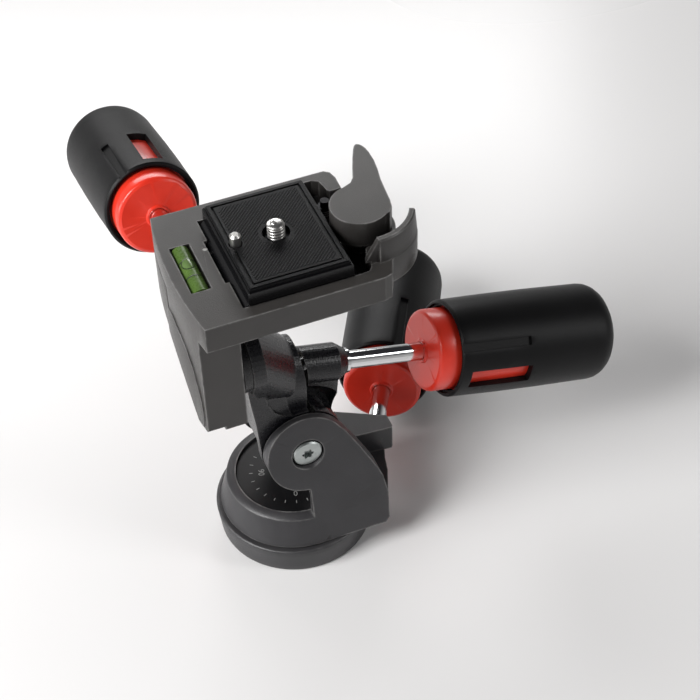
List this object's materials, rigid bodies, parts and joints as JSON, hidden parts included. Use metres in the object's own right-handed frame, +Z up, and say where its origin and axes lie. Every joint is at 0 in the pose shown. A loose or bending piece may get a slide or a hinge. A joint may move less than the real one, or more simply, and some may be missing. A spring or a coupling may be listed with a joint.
{
  "type": "three way pan tilt head",
  "caption": "Three way pan and tilt head for a tripod: round foot, turning fork, tilting arm, side tilting platform with a quick release plate, and three rod handles with sliding grips.",
  "frame": {"origin": "centre of the foot's underside, on the pan axis, in the mouth of the tripod socket", "axes": "+Z up along the pan axis, +X towards the tilt lock handle, +Y away from the near cheek of the fork, towards the side lock handle"},
  "size_m": [0.1778, 0.1791, 0.1533],
  "materials": {
    "housing_paint": "satin",
    "arm_paint": "satin",
    "top_paint": "satin",
    "dial_print": "gloss",
    "steel": "satin",
    "zinc": "satin",
    "black_screw": "satin",
    "rod_chrome": "polished",
    "brass": "satin",
    "post_alloy": "satin",
    "plate_black": "satin",
    "black_polymer": "matte",
    "red_plastic": "gloss",
    "grip_rubber": "matte",
    "pad_rubber": "matte",
    "vial_acrylic": "gloss"
  },
  "bodies": {
    "base": {"base_disc": "housing_paint", "thread_bushing": "steel", "base_screws": "black_screw", "pan_column": "post_alloy", "dial_plate": "dial_print", "pan_washer": "black_polymer"},
    "pan_housing": {"pan_body": "housing_paint", "tilt_axle": "steel", "tilt_bolt": "zinc", "tilt_nut": "zinc", "tilt_washers": "black_polymer", "pan_lock_collar": "rod_chrome", "pan_lock_shoe": "brass"},
    "tilt_arm": {"arm": "arm_paint", "tilt_lock_insert": "brass", "tilt_lock_collar": "rod_chrome", "side_washer": "black_polymer", "side_retainer": "zinc", "side_retainer_screw": "black_screw"},
    "top": {"top_body": "top_paint", "limb_cover": "top_paint", "side_lock_insert": "brass", "side_lock_collar": "rod_chrome", "level_vial": "vial_acrylic", "stop_pin": "steel", "lever_pivot_screw": "black_screw", "lever_spring": "steel", "trigger_spring": "steel", "qr_plate": "plate_black", "rubber_pad": "pad_rubber", "screw_clip": "zinc", "pin_spring": "steel"},
    "release_lever": {"lever": "top_paint"},
    "release_trigger": {"trigger_pin": "brass"},
    "plate_screw": {"camera_screw": "steel"},
    "anti_twist_pin": {"video_pin": "steel"},
    "pan_handle": {"pan_shaft": "rod_chrome", "pan_stop": "zinc"},
    "pan_knob": {"pan_core": "red_plastic", "pan_grip": "grip_rubber"},
    "tilt_handle": {"tilt_shaft": "rod_chrome", "tilt_stop": "zinc"},
    "tilt_knob": {"tilt_core": "red_plastic", "tilt_grip": "grip_rubber"},
    "side_handle": {"side_shaft": "rod_chrome", "side_stop": "zinc"},
    "side_knob": {"side_core": "red_plastic", "side_grip": "grip_rubber"}
  },
  "joints": [
    {"name": "pan", "type": "hinge", "parent": "base", "child": "pan_housing", "pos_m": [0, 0, 0.0127], "axis": [0, 0, 1], "continuous": true},
    {"name": "tilt", "type": "hinge", "parent": "pan_housing", "child": "tilt_arm", "pos_m": [0, 0, 0.055], "axis": [0, -1, 0], "range_deg": [-20, 80]},
    {"name": "side_tilt", "type": "hinge", "parent": "tilt_arm", "child": "top", "pos_m": [-0.0226, -0.004, 0.1004], "axis": [1, 0, 0], "range_deg": [-30, 90]},
    {"name": "pan_lock_turn", "type": "hinge", "parent": "pan_housing", "child": "pan_handle", "pos_m": [0.03761, 0.00489, 0.0303], "axis": [0.4806, 0.8742, -0.0698], "range_deg": [0, 180]},
    {"name": "pan_grip_slide", "type": "slide", "parent": "pan_handle", "child": "pan_knob", "axis": [-0.4806, -0.8742, 0.0698], "range_m": [0, 0.016]},
    {"name": "tilt_lock_turn", "type": "hinge", "parent": "tilt_arm", "child": "tilt_handle", "pos_m": [0.0226, 0, 0.07746], "axis": [0.9732, 0, -0.23], "range_deg": [0, 180]},
    {"name": "tilt_grip_slide", "type": "slide", "parent": "tilt_handle", "child": "tilt_knob", "axis": [-0.9732, 0, 0.23], "range_m": [0, 0.02]},
    {"name": "side_lock_turn", "type": "hinge", "parent": "top", "child": "side_handle", "pos_m": [-0.0245, 0.0369, 0.1189], "axis": [0, 0.9681, -0.2504], "range_deg": [0, 180]},
    {"name": "side_grip_slide", "type": "slide", "parent": "side_handle", "child": "side_knob", "axis": [0, -0.9681, 0.2504], "range_m": [0, 0.02]},
    {"name": "lever_swing", "type": "hinge", "parent": "top", "child": "release_lever", "pos_m": [0.0305, -0.001, 0.1415], "axis": [0, 0, -1], "range_deg": [0, 60], "stiffness_Nm_per_rad": 0.02, "springref_deg": -17.19},
    {"name": "trigger_press", "type": "slide", "parent": "top", "child": "release_trigger", "axis": [0, 0, -1], "range_m": [0, 0.002], "stiffness_N_per_m": 300, "springref_m": -0.002, "deforming": ["trigger_spring"]},
    {"name": "anti_twist_press", "type": "slide", "parent": "top", "child": "anti_twist_pin", "axis": [0, 0, -1], "range_m": [0, 0.0035], "stiffness_N_per_m": 300, "springref_m": -0.002, "deforming": ["pin_spring"]},
    {"name": "plate_screw_turn", "type": "hinge", "parent": "top", "child": "plate_screw", "pos_m": [0, 0.0005, 0.1415], "axis": [0, 0, 1], "continuous": true}
  ]
}
